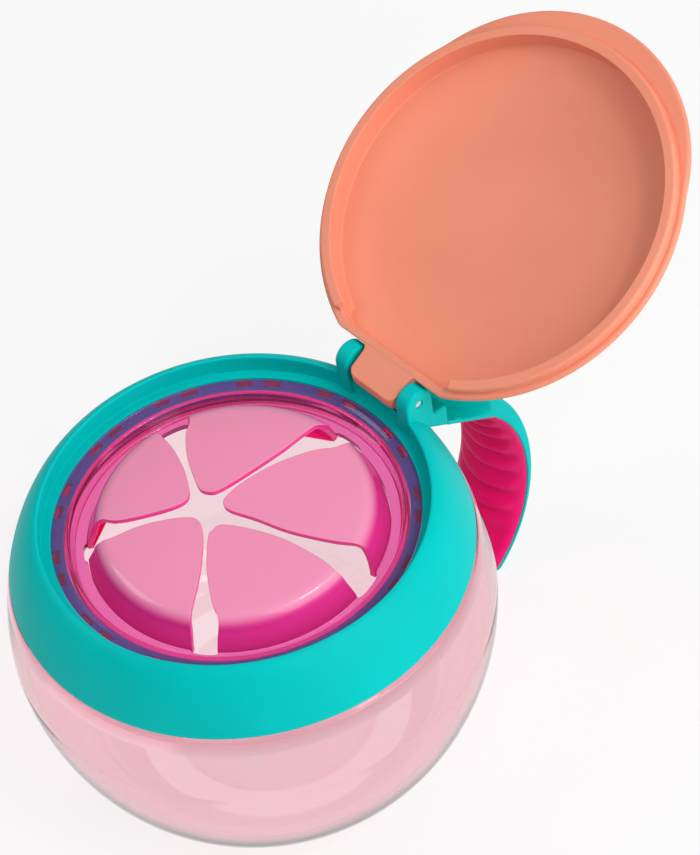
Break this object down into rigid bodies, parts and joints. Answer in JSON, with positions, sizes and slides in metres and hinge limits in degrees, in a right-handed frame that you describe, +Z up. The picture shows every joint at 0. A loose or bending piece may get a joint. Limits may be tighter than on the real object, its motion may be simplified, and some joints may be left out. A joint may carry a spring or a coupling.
{
  "type": "toddler snack cup",
  "caption": "Round clear snack cup with a handled collar, a star-slit flexible flap opening and a hinged flip lid, shown open.",
  "frame": {"origin": "middle of the bowl's flat base, on the surface that the cup stands on", "axes": "+Z up, -Y to the front where the lid's thumb brim closes, +Y to the hinge and handle, +X to the right seen from the front"},
  "size_m": [0.09, 0.1472, 0.1035],
  "materials": {
    "clear_bowl": "clear, faintly pink, glossy",
    "teal_plastic": "smooth satin moulding",
    "magenta_rubber": "soft matt, ribbed",
    "pin_steel": "cut end, bright",
    "coral_plastic": "smooth satin moulding",
    "pink_membrane": "translucent, glossy, flexible"
  },
  "bodies": {
    "bowl": {"bowl": "clear_bowl"},
    "collar": {"collar": "teal_plastic", "handle_grip": "magenta_rubber", "hinge_pin": "pin_steel", "flap_ring": "pink_membrane"},
    "lid": {"lid": "coral_plastic"},
    "flap_1": {"flap_petal_1": "pink_membrane"},
    "flap_2": {"flap_petal_2": "pink_membrane"},
    "flap_3": {"flap_petal_3": "pink_membrane"},
    "flap_4": {"flap_petal_4": "pink_membrane"},
    "flap_5": {"flap_petal_5": "pink_membrane"}
  },
  "joints": [
    {"name": "collar_turn", "type": "hinge", "parent": "bowl", "child": "collar", "pos_m": [0, 0, 0.0509], "axis": [0, 0, 1], "range_deg": [0, 45]},
    {"name": "lid_hinge", "type": "hinge", "parent": "collar", "child": "lid", "pos_m": [0, 0.0368, 0.0635], "axis": [1, 0, 0], "range_deg": [0, 150]},
    {"name": "flap_bend_1", "type": "hinge", "parent": "collar", "child": "flap_1", "pos_m": [-0.01493, 0.02055, 0.053], "axis": [0.809, 0.5878, 0], "range_deg": [-20, 66], "stiffness_Nm_per_rad": 0.012},
    {"name": "flap_bend_2", "type": "hinge", "parent": "collar", "child": "flap_2", "pos_m": [-0.02416, -0.00785, 0.053], "axis": [-0.309, 0.9511, 0], "range_deg": [-20, 66], "stiffness_Nm_per_rad": 0.012},
    {"name": "flap_bend_3", "type": "hinge", "parent": "collar", "child": "flap_3", "pos_m": [0, -0.0254, 0.053], "axis": [-1, 0, 0], "range_deg": [-20, 66], "stiffness_Nm_per_rad": 0.012},
    {"name": "flap_bend_4", "type": "hinge", "parent": "collar", "child": "flap_4", "pos_m": [0.02416, -0.00785, 0.053], "axis": [-0.309, -0.9511, 0], "range_deg": [-20, 66], "stiffness_Nm_per_rad": 0.012},
    {"name": "flap_bend_5", "type": "hinge", "parent": "collar", "child": "flap_5", "pos_m": [0.01493, 0.02055, 0.053], "axis": [0.809, -0.5878, 0], "range_deg": [-20, 66], "stiffness_Nm_per_rad": 0.012}
  ]
}
